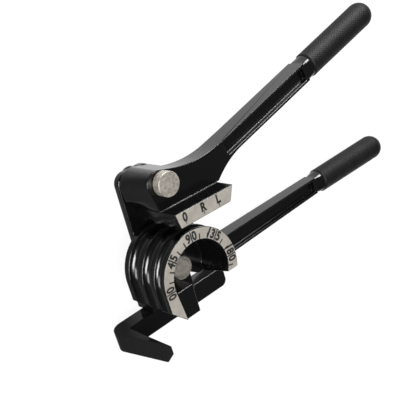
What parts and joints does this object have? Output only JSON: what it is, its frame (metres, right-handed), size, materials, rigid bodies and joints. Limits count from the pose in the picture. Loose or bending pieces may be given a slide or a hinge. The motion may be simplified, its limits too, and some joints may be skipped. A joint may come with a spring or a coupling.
{
  "type": "manual tube bender",
  "caption": "Hand tube bender for soft tube: a grooved half-round former with a degree scale, a hook on the fixed handle, and a linked moving handle with a sliding shoe.",
  "frame": {"origin": "on the centre pin's axis, in the flat back face of the fixed handle", "axes": "+Z along both pins, from the back face to the degree scale; +X along the fixed handle to its grip; +Y from the centre pin to the moving handle's side at a bend of about 90 degrees"},
  "size_m": [0.2334, 0.1209, 0.0537],
  "materials": {
    "castings": "gloss",
    "steel": "satin",
    "bronze": "satin",
    "grip": "matte"
  },
  "bodies": {
    "fixed": {"fixed_handle": "castings", "bending_former": "castings", "tube_hook": "castings", "former_screws": "steel", "hook_screws": "steel", "former_dowel": "steel", "centre_pin": "steel", "centre_pin_clip": "steel", "rear_thrust_washer": "bronze", "front_thrust_washer": "bronze", "fixed_grip": "grip"},
    "link": {"link_plate": "castings", "link_bush": "bronze", "lever_pin": "steel", "lever_pin_clip": "steel", "lever_rear_washer": "steel", "lever_head_washer": "steel"},
    "lever": {"moving_handle": "castings", "lever_rear_bush": "bronze", "lever_front_bush": "bronze", "moving_grip": "grip"}
  },
  "joints": [
    {"name": "link_swing", "type": "hinge", "parent": "fixed", "child": "link", "pos_m": [0, 0, 0.0113], "axis": [0, 0, 1], "range_deg": [-90, 91.7]},
    {"name": "lever_swing", "type": "hinge", "parent": "link", "child": "lever", "pos_m": [0.00143, 0.04808, 0.025], "axis": [0, 0, 1], "range_deg": [-12, 120]}
  ]
}
